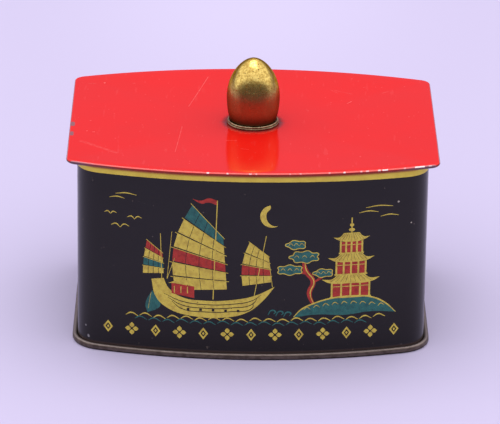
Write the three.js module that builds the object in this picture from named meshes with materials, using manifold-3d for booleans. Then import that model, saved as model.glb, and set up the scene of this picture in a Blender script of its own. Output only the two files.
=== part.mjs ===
// A tinplate tin with bowed front and back walls, a slightly dished lift-off lid and an egg-shaped brass knob.
// Millimetres, +Z up. The origin is on the table under the middle of the tin, and its front faces -Y.
import * as THREE from "three";
import { mergeVertices } from "three/addons/utils/BufferGeometryUtils.js";
import Module from "manifold-3d";

const wasm = await Module();
wasm.setup();

// Box sizes, outside the sheet
const boxWidth = 117.2;
const boxDepth = 93.8;
const boxHeight = 66.9;
const bowRadius = 186.7;
const boxCornerRadius = 9.7;
const sheet = 0.3;

// Curled top edge, double seam at the foot, and the recessed bottom
const curlDiameter = 1.6;
const seamHeight = 2.1;
const seamGap = 0.3;
const hookEndGap = 0.2;
const bottomRecess = 3.1;
const bottomStepInset = 4.5;
const bottomStepHeight = 0.6;
const bottomStepBend = 0.4;

// Locked seam up the middle of the back wall
const lockWidth = 5;
const lockEndGap = 0.4;
const lockLineWidth = 0.3;
const lockLineDepth = 0.12;

// Lid: its plate sinks a little from the hem to a flat round the knob
const overhang = 3.4;
const lidCornerRadius = 3.6;
const lidDish = 0.95;
const dishFlatMargin = 1;
const lidSeatGap = 0.15;
const hemGap = 0.22;
const hemClearance = 0.3;
const collarDepth = 9;
const collarClearance = 0.3;
const collarBend = 0.5;
const collarLip = 3;

// Knob: a hollow egg standing in a round foot
const knobDiameter = 18;
const knobBellyHeight = 9.2;
const knobCrownRise = 13.9;
const knobLowerReach = 16;
const knobCrownPowerShare = 1.16;
const knobSheet = 0.5;
const footRimWidth = 0.86;
const footHeight = 1.3;
const footBead = 0.33;
const footSheet = 0.5;
const footClearance = 0.15;

// Stud, washer and square nut that hold the knob
const studDiameter = 3;
const studHeadDiameter = 7;
const studHeadThickness = 0.8;
const studEndBeyondNut = 1.2;
const holeClearance = 0.2;
const washerDiameter = 10;
const washerThickness = 0.6;
const nutWidth = 6.4;
const nutThickness = 2.4;
const nutChamfer = 0.5;

// Smoothness of the round stretches
const bowSteps = 16;
const cornerSteps = 5;
const bendStep = Math.PI / 4;
const knobSegments = 32;
const crownSteps = 9;
const bellySteps = 4;
const beadSteps = 4;
const dishSteps = 3;
const hardwareSegments = 20;

// Layers of the folded edges
const layer = sheet + seamGap;
const hemLayer = sheet + hemGap;
const hemStart = -(hemLayer + sheet / 2);

// The lid's dish, as shares of the way from its middle to its hem
const footInner = eggRadius(footHeight, 0) + footClearance;
const footRadius = footInner + footRimWidth;
const dishReach = boxDepth / 2 + overhang + hemStart;
const flatShare = (footRadius + dishFlatMargin) / dishReach;
const dishDrop = (share) => (lidDish * (1 - share ** 2)) / (1 - flatShare ** 2);

// The collar's flange leans in as the dish does at the hem, so the lid stands that much higher on the curl
const flangeTilt = Math.atan((2 * lidDish) / (1 - flatShare ** 2) / dishReach);
const flangeDrop = Math.tan(flangeTilt) * (overhang + hemStart + curlDiameter / 2);
const lidTop = boxHeight + lidSeatGap + flangeDrop + sheet + hemLayer;
const flangeMiddle = lidTop - sheet / 2 - hemLayer;

// Points round a bowed box, anticlockwise from above, each with the normal that faces out of it
function bowedOutline(width, depth, bow, corner) {
  const bowCentre = bow - depth / 2;
  const cornerX = width / 2 - corner;
  const cornerReach = Math.sqrt((bow - corner) ** 2 - cornerX ** 2);
  const cornerY = cornerReach - bowCentre;
  const meeting = Math.atan2(cornerReach, cornerX);
  const stations = [];
  const arc = (x, y, radius, from, to, steps, skipFirst, skipLast) => {
    for (let i = skipFirst ? 1 : 0; i <= steps - (skipLast ? 1 : 0); i++) {
      const angle = from + ((to - from) * i) / steps;
      const nx = Math.cos(angle);
      const ny = Math.sin(angle);
      stations.push({ x: x + radius * nx, y: y + radius * ny, nx, ny });
    }
  };
  for (const side of [0, Math.PI]) {
    const sign = side ? -1 : 1;
    const half = side + Math.PI;
    arc(sign * cornerX, sign * cornerY, corner, side, side + meeting, cornerSteps, false, true);
    arc(0, -sign * bowCentre, bow, side + meeting, half - meeting, bowSteps, false, false);
    arc(-sign * cornerX, sign * cornerY, corner, half - meeting, half, cornerSteps, true, false);
  }
  return stations;
}

const boxOutline = bowedOutline(boxWidth, boxDepth, bowRadius, boxCornerRadius);
const lidOutline = bowedOutline(
  boxWidth + 2 * overhang,
  boxDepth + 2 * overhang,
  bowRadius + overhang,
  lidCornerRadius,
);

// The section of a folded sheet, from its middle line: u is the way out of the outline, z is up.
// Each move is a straight run or a bend, whose angle is positive to the left.
function foldedSection(start, moves) {
  let { u, z, heading } = start;
  const middle = [];
  const mark = () => middle.push({ u, z, heading });
  mark();
  for (const move of moves) {
    if (move.run !== undefined) {
      u += move.run * Math.cos(heading);
      z += move.run * Math.sin(heading);
      mark();
      continue;
    }
    const steps = Math.max(1, Math.round(Math.abs(move.bend) / bendStep));
    const side = Math.sign(move.bend);
    const centreU = u - side * move.radius * Math.sin(heading);
    const centreZ = z + side * move.radius * Math.cos(heading);
    const from = heading;
    for (let i = 1; i <= steps; i++) {
      heading = from + (move.bend * i) / steps;
      u = centreU + side * move.radius * Math.sin(heading);
      z = centreZ - side * move.radius * Math.cos(heading);
      mark();
    }
  }
  const beside = (shift) =>
    middle.map((p) => ({
      u: p.u - shift * Math.sin(p.heading),
      z: p.z + shift * Math.cos(p.heading),
    }));
  return { right: beside(-sheet / 2), left: beside(sheet / 2) };
}

// Carries a section round an outline. A plate is closed across the middle by a flat face above and below.
// A point with a share of its own lies on the outline drawn in to that share of its size.
function sweep(section, outlineAt, isPlate) {
  const loop = [...section.right, ...[...section.left].reverse()];
  const last = loop.length - 1;
  const rings = loop.map((p, k) => {
    const share = p.share ?? 1;
    return outlineAt(k, last).map((s) => [share * (s.x + s.nx * p.u), share * (s.y + s.ny * p.u), p.z]);
  });
  const around = rings[0].length;
  const index = [];
  for (let j = 0; j < (isPlate ? last : last + 1); j++) {
    const a = j * around;
    const b = ((j + 1) % (last + 1)) * around;
    for (let i = 0; i < around; i++) {
      const n = (i + 1) % around;
      index.push(a + i, a + n, b + n, a + i, b + n, b + i);
    }
  }
  if (isPlate) {
    const flat = (ring) => ring.map(([x, y]) => new THREE.Vector2(x, y));
    for (const [a, b, c] of THREE.ShapeUtils.triangulateShape(flat(rings[last]), [])) {
      index.push(last * around + a, last * around + b, last * around + c);
    }
    for (const [a, b, c] of THREE.ShapeUtils.triangulateShape(flat(rings[0]), [])) {
      index.push(a, c, b);
    }
  }
  const geometry = new THREE.BufferGeometry();
  geometry.setAttribute("position", new THREE.Float32BufferAttribute(rings.flat(2), 3));
  geometry.setIndex(index);
  return geometry;
}

// Joins and cuts
function solidOf(geometry) {
  const bare = geometry.clone();
  bare.deleteAttribute("normal");
  bare.deleteAttribute("uv");
  const merged = mergeVertices(bare);
  return new wasm.Manifold(
    new wasm.Mesh({
      numProp: 3,
      vertProperties: new Float32Array(merged.attributes.position.array),
      triVerts: new Uint32Array(merged.index.array),
    }),
  );
}

function geometryOf(solid) {
  const mesh = solid.getMesh();
  const geometry = new THREE.BufferGeometry();
  geometry.setAttribute("position", new THREE.BufferAttribute(mesh.vertProperties, 3));
  geometry.setIndex(new THREE.BufferAttribute(mesh.triVerts, 1));
  return geometry;
}

const join = (a, b) => geometryOf(solidOf(a).add(solidOf(b)));
const cut = (a, b) => geometryOf(solidOf(a).subtract(solidOf(b)));
const common = (a, b) => geometryOf(solidOf(a).intersect(solidOf(b)));

// An upright round piece, from its half section of radius and height
function turned(points, segments) {
  const profile = points.map(([radius, height]) => new THREE.Vector2(radius, height));
  return new THREE.LatheGeometry(profile, segments).rotateX(Math.PI / 2);
}

function block(width, depth, height, x, y, z) {
  return new THREE.BoxGeometry(width, depth, height).translate(x, y, z);
}

// Wall: one sheet, curled inwards round its top edge and hooked outwards at its foot
const wallMiddle = -sheet / 2;
const hookLegFoot = sheet / 2 + 2 * layer;
const hookLegTop = seamHeight - sheet / 2 - layer / 2 - hookEndGap;
const curlRadius = (curlDiameter - sheet) / 2;
const curlMiddle = boxHeight - curlDiameter / 2;

function makeWall() {
  const section = foldedSection({ u: wallMiddle + 2 * layer, z: hookLegTop, heading: -Math.PI / 2 }, [
    { run: hookLegTop - hookLegFoot },
    { bend: -Math.PI, radius: layer },
    { run: curlMiddle - hookLegFoot },
    { bend: 1.5 * Math.PI, radius: curlRadius },
  ]);
  const wall = sweep(section, () => boxOutline, false);
  const innerFace = boxDepth / 2 - sheet;
  const lockThickness = 3 * sheet;
  const lockFoot = bottomRecess + sheet + lockEndGap;
  const lockTop = boxHeight - curlDiameter - lockEndGap;
  const lockHeight = lockTop - lockFoot;
  const lock = block(
    lockWidth,
    lockThickness + sheet / 2,
    lockHeight,
    0,
    innerFace - lockThickness / 2 + sheet / 4,
    lockFoot + lockHeight / 2,
  );
  const line = block(
    lockLineWidth,
    2 * lockLineDepth,
    lockHeight,
    lockWidth / 2 - lockLineWidth,
    boxDepth / 2,
    lockFoot + lockHeight / 2,
  );
  return cut(join(wall, lock), line);
}

// Bottom: a recessed panel whose edge goes down inside the wall, under it, up outside it and over its hook
function makeBottom() {
  const legFoot = sheet / 2 + layer;
  const topTurn = seamHeight - sheet / 2 - layer;
  const hookEnd = hookLegFoot - layer / 2 + hookEndGap;
  const panelMiddle = bottomRecess + sheet / 2;
  const stepBend = Math.PI / 3;
  const stepDrop = bottomStepHeight - 2 * bottomStepBend * (1 - Math.cos(stepBend));
  const stepWidth = 2 * bottomStepBend * Math.sin(stepBend) + stepDrop / Math.tan(stepBend);
  const start = wallMiddle - 2 * layer - bottomStepInset - stepWidth;
  const section = foldedSection({ u: start, z: panelMiddle + bottomStepHeight, heading: 0 }, [
    { bend: -stepBend, radius: bottomStepBend },
    { run: stepDrop / Math.sin(stepBend) },
    { bend: stepBend, radius: bottomStepBend },
    { run: bottomStepInset },
    { bend: -Math.PI / 2, radius: layer },
    { run: panelMiddle - layer - legFoot },
    { bend: Math.PI / 2, radius: layer },
    { run: 2 * layer },
    { bend: Math.PI / 2, radius: layer },
    { run: topTurn - legFoot },
    { bend: Math.PI, radius: layer },
    { run: topTurn - hookEnd },
  ]);
  return sweep(section, () => boxOutline, true);
}

// Lid plate: a shallow dish with its edge folded under in a flat hem, and one hole for the knob's stud
function makeLidPlate() {
  const hemWidth = overhang - hemClearance;
  const hem = foldedSection({ u: hemStart, z: lidTop - sheet / 2, heading: 0 }, [
    { bend: -Math.PI, radius: hemLayer },
    { run: hemWidth + hemStart },
  ]);
  const dished = (face) =>
    Array.from({ length: dishSteps }, (_, i) => {
      const share = flatShare + ((1 - flatShare) * i) / dishSteps;
      return { u: hemStart, z: face - dishDrop(share), share };
    });
  const section = {
    right: [...dished(lidTop - sheet), ...hem.right],
    left: [...dished(lidTop), ...hem.left],
  };
  const plate = sweep(section, () => lidOutline, true);
  const drill = turned(
    [
      [0, -sheet],
      [studDiameter / 2 + holeClearance, -sheet],
      [studDiameter / 2 + holeClearance, sheet],
      [0, sheet],
    ],
    hardwareSegments,
  ).translate(0, 0, lidTop - lidDish - sheet / 2);
  return cut(plate, drill);
}

// Collar: its flange is held in the lid's hem, its wall slides inside the curl, and its foot turns in
function makeCollar() {
  const flangeStart = overhang + hemStart;
  const wallPlace = -(curlDiameter + collarClearance + sheet / 2);
  const bendStart = wallPlace + collarBend * (1 - Math.sin(flangeTilt));
  const section = foldedSection({ u: flangeStart, z: flangeMiddle, heading: Math.PI + flangeTilt }, [
    { run: (flangeStart - bendStart) / Math.cos(flangeTilt) },
    { bend: Math.PI / 2 - flangeTilt, radius: collarBend },
    { run: collarDepth - 2 * collarBend },
    { bend: -Math.PI / 2, radius: collarBend },
    { run: collarLip },
  ]);
  section.left[0].u = hemStart;
  section.right[0].u = hemStart;
  return sweep(section, (k, last) => (k === 0 || k === last ? lidOutline : boxOutline), false);
}

// Knob shell: rounded to a blunt point above its belly, drawn in a little below it, and hollow
function eggRadius(height, shrink) {
  const drop = (knobBellyHeight - height) / knobLowerReach;
  return (knobDiameter / 2) * Math.sqrt(1 - drop ** 2) - shrink;
}

function eggSide(shrink) {
  const side = [];
  for (let i = 0; i < bellySteps; i++) {
    const height = footSheet + ((knobBellyHeight - footSheet) * i) / bellySteps;
    side.push([eggRadius(height, shrink), height]);
  }
  for (let i = 0; i < crownSteps; i++) {
    const angle = ((Math.PI / 2) * i) / crownSteps;
    side.push([
      (knobDiameter / 2 - shrink) * Math.cos(angle) ** knobCrownPowerShare,
      knobBellyHeight + (knobCrownRise - shrink) * Math.sin(angle),
    ]);
  }
  side.push([0, knobBellyHeight + knobCrownRise - shrink]);
  return side;
}

function makeKnobShell() {
  return turned([...eggSide(knobSheet).reverse(), ...eggSide(0)], knobSegments);
}

// Knob foot: a shallow cup that the shell stands in, with two beads round it and a groove between them
function makeKnobFoot() {
  const hole = studDiameter / 2 + holeClearance;
  const lower = { radius: footRadius - footBead, height: footBead };
  const upper = { radius: footInner + footBead, height: footHeight - footBead };
  const across = upper.radius - lower.radius;
  const above = upper.height - lower.height;
  const lean = Math.atan2(above, across);
  const meeting = Math.acos(Math.min(1, Math.hypot(across, above) / (2 * footBead)));
  const profile = [[hole, 0]];
  const bead = (middle, from, to, first) => {
    for (let i = first; i <= beadSteps; i++) {
      const angle = from + ((to - from) * i) / beadSteps;
      profile.push([middle.radius + footBead * Math.cos(angle), middle.height + footBead * Math.sin(angle)]);
    }
  };
  bead(lower, -Math.PI / 2, lean - meeting, 0);
  bead(upper, lean - Math.PI + meeting, Math.PI, 1);
  profile.push([footInner, footSheet], [hole, footSheet], [hole, 0]);
  return turned(profile, knobSegments);
}

// Stud: a flat head on the foot's floor and a shank down through the lid
const nutUnderside = -(sheet + washerThickness + nutThickness);

function makeStud() {
  const shank = studDiameter / 2;
  const head = studHeadDiameter / 2;
  return turned(
    [
      [0, nutUnderside - studEndBeyondNut],
      [shank, nutUnderside - studEndBeyondNut],
      [shank, footSheet],
      [head, footSheet],
      [head, footSheet + studHeadThickness],
      [0, footSheet + studHeadThickness],
    ],
    hardwareSegments,
  );
}

function makeWasher() {
  const hole = studDiameter / 2 + holeClearance;
  return turned(
    [
      [hole, -washerThickness],
      [washerDiameter / 2, -washerThickness],
      [washerDiameter / 2, 0],
      [hole, 0],
      [hole, -washerThickness],
    ],
    hardwareSegments,
  );
}

// Square nut, its corners turned down on the face away from the lid
function makeNut() {
  const hole = studDiameter / 2 + holeClearance / 2;
  const corner = (nutWidth / 2) * Math.SQRT2;
  const square = block(nutWidth, nutWidth, nutThickness, 0, 0, -nutThickness / 2);
  const ring = turned(
    [
      [hole, -nutThickness],
      [corner - 2 * nutChamfer, -nutThickness],
      [corner, -nutThickness + nutChamfer],
      [corner, 0],
      [hole, 0],
      [hole, -nutThickness],
    ],
    hardwareSegments,
  );
  return common(square, ring);
}

// Finishes
const blackLacquer = new THREE.MeshStandardMaterial({ color: 0x1d1a1f, roughness: 0.3, metalness: 0.1 });
const redLacquer = new THREE.MeshStandardMaterial({ color: 0xe8201c, roughness: 0.2, metalness: 0.1 });
const brownTinplate = new THREE.MeshStandardMaterial({ color: 0x6b5f58, roughness: 0.45, metalness: 0.8 });
const goldTinplate = new THREE.MeshStandardMaterial({ color: 0xc8a75a, roughness: 0.35, metalness: 0.8 });
const oldBrass = new THREE.MeshStandardMaterial({ color: 0xb08d3c, roughness: 0.3, metalness: 1 });
const plainSteel = new THREE.MeshStandardMaterial({ color: 0x9a9a98, roughness: 0.4, metalness: 1 });

function piece(name, geometry, material) {
  const mesh = new THREE.Mesh(geometry, material);
  mesh.name = name;
  return mesh;
}

// Assembly
const tin = new THREE.Group();
const lid = new THREE.Group();
const knob = new THREE.Group();
tin.add(piece("body_wall", makeWall(), blackLacquer));
tin.add(piece("bottom_panel", makeBottom(), brownTinplate));
lid.add(piece("lid_plate", makeLidPlate(), redLacquer));
lid.add(piece("lid_collar", makeCollar(), goldTinplate));
knob.position.z = lidTop - lidDish;
knob.add(piece("knob_shell", makeKnobShell(), oldBrass));
knob.add(piece("knob_foot", makeKnobFoot(), oldBrass));
knob.add(piece("knob_stud", makeStud(), plainSteel));
const washer = piece("knob_washer", makeWasher(), plainSteel);
washer.position.z = -sheet;
knob.add(washer);
const nut = piece("knob_nut", makeNut(), plainSteel);
nut.position.z = -sheet - washerThickness;
knob.add(nut);
lid.add(knob);
tin.add(lid);

export default tin;
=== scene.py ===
# The tin's finished look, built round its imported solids: printed sheet metal with folded edges and a brass
# knob. Metres, +Z up. The printed front faces -Y, and the tin stands on the floor at zero height.
from math import asin, atan2, cos, hypot, pi, radians, sin, sqrt, tan

import bmesh
import bpy
from mathutils import Matrix, Vector


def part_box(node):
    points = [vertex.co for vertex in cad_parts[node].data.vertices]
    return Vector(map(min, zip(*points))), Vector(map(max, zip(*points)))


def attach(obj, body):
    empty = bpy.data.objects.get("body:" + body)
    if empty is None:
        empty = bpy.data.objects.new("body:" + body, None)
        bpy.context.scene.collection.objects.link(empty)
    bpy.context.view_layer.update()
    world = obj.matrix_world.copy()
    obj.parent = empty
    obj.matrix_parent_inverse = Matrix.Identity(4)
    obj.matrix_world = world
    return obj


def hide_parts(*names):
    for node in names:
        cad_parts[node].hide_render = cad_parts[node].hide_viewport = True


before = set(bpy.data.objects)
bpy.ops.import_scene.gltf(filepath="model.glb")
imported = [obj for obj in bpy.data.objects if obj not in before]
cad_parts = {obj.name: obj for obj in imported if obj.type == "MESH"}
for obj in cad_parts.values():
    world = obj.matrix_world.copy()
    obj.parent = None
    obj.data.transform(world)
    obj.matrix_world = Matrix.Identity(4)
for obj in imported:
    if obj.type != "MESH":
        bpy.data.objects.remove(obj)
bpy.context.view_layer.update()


# The wall. One strip of tinplate, printed black outside and left bright inside, rolled into a box with bowed
# front and back. Its top edge is curled inwards, and its foot is hooked outwards for the bottom seam to hold.
MM = 0.001
UP = Vector((0, 0, 1))
sheet = 0.3 * MM
overhang = 3.4 * MM
wall_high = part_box("body_wall")[1]
lid_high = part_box("lid_plate")[1]
front_bow_radius = 186.7 * MM
wall_corner_radius = 9.7 * MM
curl_radius = 0.65 * MM
seam_layer = 0.6 * MM
seam_height = 2.1 * MM
hook_end_gap = 0.2 * MM
hook_foot = sheet / 2 + 2 * seam_layer
hook_top = seam_height - sheet / 2 - seam_layer / 2 - hook_end_gap
lock_foot = 3.8 * MM
lock_top = wall_high.z - 2 * MM
lock_groove_x = 2.2 * MM
lock_groove_width = 0.3 * MM
lock_groove_depth = 0.12 * MM
bow_steps = 28
corner_steps = 12
sharp_edge = radians(35)
same_place = 0.001 * MM
far_off = 200 * MM


class Outline:
    """A bowed box seen from above: arcs for the front, the back and the corners, and straight sides."""

    def __init__(self, half_width, half_depth, bow_radius, corner_radius):
        self.half_width, self.half_depth = half_width, half_depth
        self.bow_radius = bow_radius
        self.bow_centre = bow_radius - half_depth
        corner_x = half_width - corner_radius
        corner_reach = sqrt((bow_radius - corner_radius) ** 2 - corner_x**2)
        self.corner = Vector((corner_x, self.bow_centre - corner_reach, 0))
        self.bow_turn = asin(corner_x / (bow_radius - corner_radius))

    def front(self, x, lift=0.0):
        """Where the front lies at a place along it, or a layer so far off it."""
        return self.bow_centre - sqrt((self.bow_radius + lift) ** 2 - x**2)


wall_outline = Outline(lid_high.x - overhang, lid_high.y - overhang, front_bow_radius, wall_corner_radius)


def verts_of(geometry):
    return [v for v in geometry if isinstance(v, bmesh.types.BMVert)]


class Fold:
    """A line drawn by one point in front of the tin's middle, which runs straight, turns and bends. Reach is
    how far it stands from the middle. A heading of zero points away from it, and a left turn is up."""

    def __init__(self, bm, reach, height, heading):
        self.bm, self.heading = bm, heading
        self.tip = bm.verts.new((0, -reach, height))

    def _along(self, heading):
        return Vector((0, -cos(heading), sin(heading)))

    def run(self, length):
        self.tip = bmesh.ops.extrude_vert_indiv(self.bm, verts=[self.tip])["verts"][0]
        self.tip.co += length * self._along(self.heading)
        return self

    def turn(self, angle):
        self.heading += angle
        return self

    def bend(self, angle, radius, steps=4):
        side = 1 if angle > 0 else -1
        centre = self.tip.co + radius * self._along(self.heading + side * pi / 2)
        turned = bmesh.ops.spin(
            self.bm, geom=[self.tip], cent=centre, axis=(-1, 0, 0), angle=angle, steps=steps
        )
        self.tip = verts_of(turned["geom_last"])[0]
        return self.turn(angle)


def carry_round(bm, outline):
    """Sweeps the drawn line round an outline: half the bow, a corner and half a side, then mirror images."""
    line = bm.verts[:] + bm.edges[:]
    for centre, angle, steps in (
        (Vector((0, outline.bow_centre, 0)), outline.bow_turn, bow_steps),
        (outline.corner, pi / 2 - outline.bow_turn, corner_steps),
    ):
        line = bmesh.ops.spin(bm, geom=line, cent=centre, axis=UP, angle=angle, steps=steps)["geom_last"]
    side = bmesh.ops.extrude_face_region(bm, geom=line)["geom"]
    bmesh.ops.translate(bm, verts=verts_of(side), vec=(0, -outline.corner.y, 0))
    for axis in "YX":
        geometry = bm.verts[:] + bm.edges[:] + bm.faces[:]
        bmesh.ops.mirror(bm, geom=geometry, matrix=Matrix.Identity(4), merge_dist=same_place, axis=axis)


def cut(bm, place, square_to, geometry=None, clear_inner=False):
    """Cuts a mesh, or some geometry of it, with a plane through a place and square to a direction."""
    geometry = geometry or bm.verts[:] + bm.edges[:] + bm.faces[:]
    bmesh.ops.bisect_plane(bm, geom=geometry, plane_co=place, plane_no=square_to, clear_inner=clear_inner)


def made_piece(name, bm, materials, body, replaced=()):
    """Turns a finished bmesh into a piece of the tin: smooth, with its materials, riding on its body."""
    mesh = bpy.data.meshes.new(name)
    bm.to_mesh(mesh)
    bm.free()
    mesh.polygons.foreach_set("use_smooth", [True] * len(mesh.polygons))
    mesh.set_sharp_from_angle(angle=sharp_edge)
    for material in materials:
        mesh.materials.append(material)
    piece = bpy.data.objects.new(name, mesh)
    bpy.context.scene.collection.objects.link(piece)
    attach(piece, body)
    if replaced:
        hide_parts(*replaced)
    return piece


def thicken(piece, thickness, offset=0.0):
    """Gives a middle surface its thickness. The side turned inwards takes the piece's second material."""
    solid = piece.modifiers.new("sheet", "SOLIDIFY")
    solid.thickness = thickness
    solid.offset = offset
    solid.use_even_offset = True
    solid.material_offset = len(piece.data.materials) - 1


def outward(bm, probe):
    """Turns every face of an open sheet the same way, so that the face nearest a place outside looks out."""
    bmesh.ops.recalc_face_normals(bm, faces=bm.faces[:])
    nearest = min(bm.faces, key=lambda f: (f.calc_center_median() - probe).length)
    if nearest.normal.dot(probe - nearest.calc_center_median()) < 0:
        bmesh.ops.reverse_faces(bm, faces=bm.faces[:])


class Level:
    """A number that varies over a surface: a socket on which Python's operators build Math nodes."""

    def __init__(self, wiring, socket):
        self.wiring, self.socket = wiring, socket

    def maths(self, operation, *others):
        return self.wiring.add("ShaderNodeMath", [self, *others], operation=operation)

    def __add__(self, other):
        return self.maths("ADD", other)

    def __sub__(self, other):
        return self.maths("SUBTRACT", other)

    def __rsub__(self, other):
        return self.wiring.add("ShaderNodeMath", [other, self], operation="SUBTRACT")

    def __mul__(self, other):
        return self.maths("MULTIPLY", other)

    def __truediv__(self, other):
        return self.maths("DIVIDE", other)

    def __abs__(self):
        return self.maths("ABSOLUTE")

    __radd__ = __add__
    __rmul__ = __mul__


class Wiring:
    """A node tree, filled node by node."""

    def __init__(self, tree):
        self.nodes, self.links = tree.nodes, tree.links

    def add(self, kind, values=(), output=0, **settings):
        """Adds a node with its settings and the values or links of its sockets, and returns one output."""
        node = self.nodes.new(kind)
        for name, value in settings.items():
            setattr(node, name, value)
        for key, value in values.items() if isinstance(values, dict) else enumerate(values):
            self.feed(node.inputs[key], value)
        return Level(self, node.outputs[output])

    def feed(self, target, value):
        """Links a socket, or sets it where the value is the same all over."""
        value = getattr(value, "socket", value)
        if isinstance(value, bpy.types.NodeSocket):
            self.links.new(value, target)
        else:
            target.default_value = value

    def split(self, vector):
        node = self.add("ShaderNodeSeparateXYZ", [vector]).socket.node
        return [Level(self, socket) for socket in node.outputs]

    def rise(self, value, low, high):
        """0 below low, 1 above high and smooth between. High may be the smaller."""
        limits = {"Value": value, "From Min": low, "From Max": high}
        return self.add("ShaderNodeMapRange", limits, interpolation_type="SMOOTHSTEP")

    def mix(self, amount, first, second):
        """The first colour where the amount is 0 and the second where it is 1."""
        colours = {0: amount, 6: first, 7: second}
        return self.add("ShaderNodeMix", colours, output=2, data_type="RGBA", clamp_factor=True)


def light_value(channel):
    """A display colour channel of 0 to 255 as the light that it stands for."""
    share = channel / 255
    return share / 12.92 if share <= 0.04045 else ((share + 0.055) / 1.055) ** 2.4


def colour(red, green, blue):
    return (light_value(red), light_value(green), light_value(blue), 1)


class Finish(Wiring):
    """A material as it is mixed. Places on the piece are read in millimetres."""

    def __init__(self, name, metallic=0.0, specular=0.5):
        self.material = bpy.data.materials.new(name)
        self.material.use_nodes = True
        super().__init__(self.material.node_tree)
        self.shader = self.nodes["Principled BSDF"]
        self.set("Metallic", metallic)
        self.set("Specular IOR Level", specular)
        place = self.add("ShaderNodeTexCoord", output="Object")
        self.place = self.add("ShaderNodeVectorMath", {0: place, "Scale": 1 / MM}, operation="SCALE")
        self.x, self.y, self.z = self.split(self.place)

    def set(self, name, value):
        self.feed(self.shader.inputs[name], value)

    def noise(self, scale, detail=2.0, stretch=(1, 1, 1), turn=0.0, shift=0.0, roughness=0.5):
        """Cloudy noise with so many blots to a millimetre, drawn out along an axis where stretch is small."""
        mapping = {0: self.place, "Location": (shift,) * 3, "Rotation": (0, 0, turn), "Scale": stretch}
        place = self.add("ShaderNodeMapping", mapping)
        clouds = {"Vector": place, "Scale": scale, "Detail": detail, "Roughness": roughness}
        return self.add("ShaderNodeTexNoise", clouds)

    def specks(self, scale, size, shift=0.0, kept=0.28):
        """Round specks, at most one in each cell of so many to a millimetre. Only a share of them is kept."""
        place = self.add("ShaderNodeMapping", {0: self.place, "Location": (shift,) * 3})
        cells = {"Vector": place, "Scale": scale}
        distance = self.add("ShaderNodeTexVoronoi", cells)
        which = self.add("ShaderNodeTexVoronoi", cells, output="Color")
        chance = self.add("ShaderNodeSeparateColor", [which])
        reach = self.rise(chance, 1 - kept, 1) * size
        return self.rise(distance, reach, reach * 0.6)

    def distance(self, *sides):
        """How far off a place is that lies so far off along each axis."""
        return sum(side * side for side in sides).maths("SQRT")

    def spot(self, place, radius):
        """1 in a small ragged mark round a place, given across, along and up."""
        x, y, z = (axis - value for axis, value in zip((self.x, self.y, self.z), place))
        ragged = self.distance(x, y, z) + self.noise(1.4, detail=3, shift=9) * radius
        return self.rise(ragged, radius * 1.7, radius * 1.2)

    def bump(self, height, depth):
        """Relief of so many millimetres, for heights of 0 to 1."""
        relief = {"Height": height, "Distance": depth * MM, "Strength": 1.0}
        self.set("Normal", self.add("ShaderNodeBump", relief))


BLACK = colour(13, 8, 9)
BAND_GOLD = colour(214, 190, 72)
BARE_TIN = colour(176, 168, 160)
band_foot = 63.6
under_lid = 65.55
front_y = wall_outline.front(0) / MM


def black_print():
    finish = Finish("black_lacquer", specular=0.34)
    height = finish.z + finish.noise(0.9, detail=3) * 0.12
    sag = finish.rise(finish.x, 5, 55) * 0.34
    band = finish.rise(height + sag, band_foot + 0.02, band_foot + 0.1)
    stain = finish.rise(finish.noise(0.35, detail=4, shift=3), 0.35, 0.75)
    gold = finish.mix(stain, BAND_GOLD, colour(204, 178, 64))
    shadowed = finish.rise(height, under_lid - 0.75, under_lid)
    shadowed = shadowed * finish.rise(height, under_lid + 0.8, under_lid + 0.35)
    print_colour = finish.mix(band, BLACK, finish.mix(shadowed * 0.8, gold, colour(146, 62, 30)))
    low = finish.rise(finish.z, 9, 2)
    dirt = finish.rise(finish.z, 2.9, 2.1)
    scuffs = finish.rise(finish.noise(0.7, detail=7, shift=11) + low * 0.07, 0.73, 0.8)
    corner_rub = finish.spot((-54.7, front_y + 8.8, 3.9), 0.5)
    corner_rub += finish.spot((-55.6, front_y + 9.6, 7.5), 0.3)
    nicks = finish.spot((48.4, front_y + 6.3, 54.8), 0.36) + finish.spot((53, front_y + 7.6, 46.8), 0.32)
    dust = finish.specks(0.3, 0.1, shift=6, kept=0.5)
    at_seam = finish.rise(abs(finish.x - lock_groove_x / MM), 0.5, 0.15) * finish.rise(finish.y, 40, 45)
    seam_rub = at_seam * finish.rise(finish.noise(0.5, detail=5, shift=30), 0.36, 0.6) * (1 - band)
    rub = scuffs * 0.35 + dust * 0.3 + seam_rub * 0.6
    worn = finish.mix(rub, print_colour, colour(120, 106, 98))
    worn = finish.mix(dirt * 0.42, worn, colour(84, 66, 64))
    rubbed = finish.mix(corner_rub * 0.7, worn, colour(150, 146, 152))
    finish.set("Base Color", finish.mix(nicks, rubbed, colour(152, 144, 134)))
    smear = finish.rise(finish.noise(0.06, detail=5, stretch=(1, 1, 2.2)), 0.35, 0.7)
    finish.set("Roughness", 0.14 + smear * 0.1 + band * 0.14 + scuffs * 0.25)
    waves = finish.noise(0.045, detail=1, shift=7) + finish.noise(1.6, detail=2) * 0.03
    finish.bump(waves, 0.12)
    return finish.material


def bright_tin(name, base, roughness):
    finish = Finish(name, metallic=1.0)
    grain = finish.noise(0.5, detail=5, stretch=(1, 1, 0.08))
    cloud = finish.rise(finish.noise(0.09, detail=4, shift=2), 0.3, 0.75)
    darker = tuple(c * 0.62 for c in base[:3]) + (1,)
    spots = finish.specks(0.25, 0.2, shift=6)
    clouded = finish.mix(cloud, base, darker)
    finish.set("Base Color", finish.mix(spots * 0.55, clouded, colour(92, 74, 58)))
    finish.set("Roughness", roughness + cloud * 0.14 + grain * 0.1)
    finish.bump(grain, 0.01)
    return finish.material


black_lacquer = black_print()
inside_tin = bright_tin("inside_tin", BARE_TIN, 0.3)

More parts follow.
